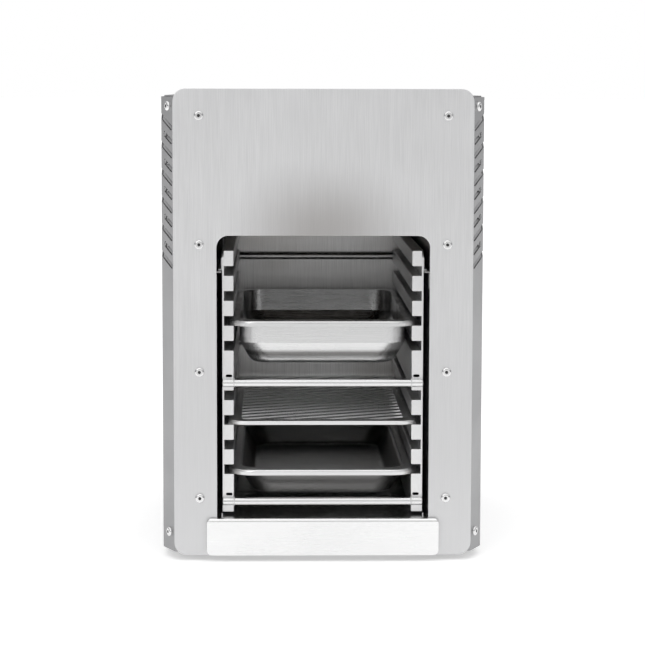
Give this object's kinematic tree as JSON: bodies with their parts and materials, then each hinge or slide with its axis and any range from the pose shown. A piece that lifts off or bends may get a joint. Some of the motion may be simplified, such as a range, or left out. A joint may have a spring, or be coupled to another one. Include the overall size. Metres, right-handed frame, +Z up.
{
  "type": "electric top-heat cabinet grill",
  "caption": "Upright stainless cabinet grill with an open front, a slide-out grooved rack of pans and a slotted grate, a drip tray with a folded apron and heating tubes above the opening.",
  "frame": {"origin": "bottom centre of the whole box, on the plane of the feet", "axes": "+X to the right seen from the front, +Y from the front to the back, +Z up"},
  "size_m": [0.3, 0.414, 0.439],
  "materials": {
    "front_steel": "vertically brushed stainless sheet, satin",
    "casing_steel": "brushed stainless sheet, a little greyer than the front",
    "plain_steel": "plain rolled stainless sheet",
    "chamber_steel": "brushed stainless sheet inside the hot chamber, darkened by use",
    "reflector_steel": "stainless sheet with heat tint",
    "rack_steel": "satin stainless sheet",
    "bar_steel": "polished round bar",
    "pan_steel": "bright pressed stainless",
    "used_pan_steel": "pressed stainless, darker inside",
    "grate_steel": "stainless plate with cut slots",
    "tray_steel": "bright finely brushed stainless sheet",
    "screw_steel": "turned stainless fastener",
    "foot_rubber": "moulded black rubber",
    "heater_tube": "oxidised heating tube",
    "ceramic": "glazed ceramic",
    "mineral_wool": "pressed mineral wool",
    "black_plastic": "moulded heat-resistant plastic",
    "rocker_plastic": "smooth moulded rocker",
    "knob_plastic": "moulded knob with a fine satin surface",
    "lamp_lens": "clear red lens",
    "contact_brass": "plated brass contacts"
  },
  "bodies": {
    "housing": {"front_plate": "front_steel", "front_plate_screws": "screw_steel", "front_plate_nuts": "screw_steel", "side_casing_right": "casing_steel", "side_casing_left": "casing_steel", "corner_brackets": "plain_steel", "bevel_screws": "screw_steel", "top_cover": "casing_steel", "top_cover_screws": "screw_steel", "base_plate": "plain_steel", "base_screws": "screw_steel", "base_nuts": "screw_steel", "feet": "foot_rubber", "foot_screws": "screw_steel", "foot_nuts": "screw_steel", "rear_panel": "casing_steel", "rear_panel_screws": "screw_steel", "liner_right": "chamber_steel", "liner_left": "chamber_steel", "back_wall": "chamber_steel", "chamber_floor": "chamber_steel", "tray_runners": "plain_steel", "rack_ledges": "plain_steel", "ceiling": "plain_steel", "lining_screws": "screw_steel", "heat_reflector": "reflector_steel", "element_brackets": "plain_steel", "bracket_screws": "screw_steel", "heating_elements": "heater_tube", "element_bushes": "ceramic", "heat_shield": "reflector_steel", "insulation_mat": "mineral_wool", "power_inlet": "black_plastic", "inlet_pins": "contact_brass", "inlet_screws": "screw_steel", "switch_frame": "black_plastic", "regulator_body": "black_plastic", "regulator_screws": "screw_steel", "indicator_lamp": "lamp_lens", "terminal_block": "ceramic", "safety_thermostat": "black_plastic", "earth_stud": "contact_brass"},
    "rack": {"rack_side_right": "rack_steel", "rack_side_left": "rack_steel", "rack_rails_right": "rack_steel", "rack_rails_left": "rack_steel", "rack_front_bars": "bar_steel", "rack_back_bars": "bar_steel", "rack_hangers": "rack_steel"},
    "upper_pan": {"upper_pan": "pan_steel"},
    "grill_grate": {"grill_grate": "grate_steel"},
    "lower_pan": {"lower_pan": "used_pan_steel"},
    "drip_tray": {"drip_tray": "tray_steel"},
    "power_rocker": {"power_rocker": "rocker_plastic"},
    "regulator_knob": {"regulator_shaft": "screw_steel", "regulator_knob": "knob_plastic"}
  },
  "joints": [
    {"name": "rack_slide", "type": "slide", "parent": "housing", "child": "rack", "axis": [0, -1, 0], "range_m": [0, 0.34]},
    {"name": "upper_pan_slide", "type": "slide", "parent": "rack", "child": "upper_pan", "axis": [0, -1, 0], "range_m": [0, 0.32]},
    {"name": "grate_slide", "type": "slide", "parent": "rack", "child": "grill_grate", "axis": [0, -1, 0], "range_m": [0, 0.32]},
    {"name": "lower_pan_slide", "type": "slide", "parent": "rack", "child": "lower_pan", "axis": [0, -1, 0], "range_m": [0, 0.32]},
    {"name": "drip_tray_slide", "type": "slide", "parent": "housing", "child": "drip_tray", "axis": [0, -1, 0], "range_m": [0, 0.34]},
    {"name": "power_rocker_tilt", "type": "hinge", "parent": "housing", "child": "power_rocker", "pos_m": [0.042, 0.1874, 0.062], "axis": [1, 0, 0], "range_deg": [-16, 0]},
    {"name": "regulator_turn", "type": "hinge", "parent": "housing", "child": "regulator_knob", "pos_m": [-0.052, 0.199, 0.062], "axis": [0, -1, 0], "range_deg": [0, 270]}
  ]
}
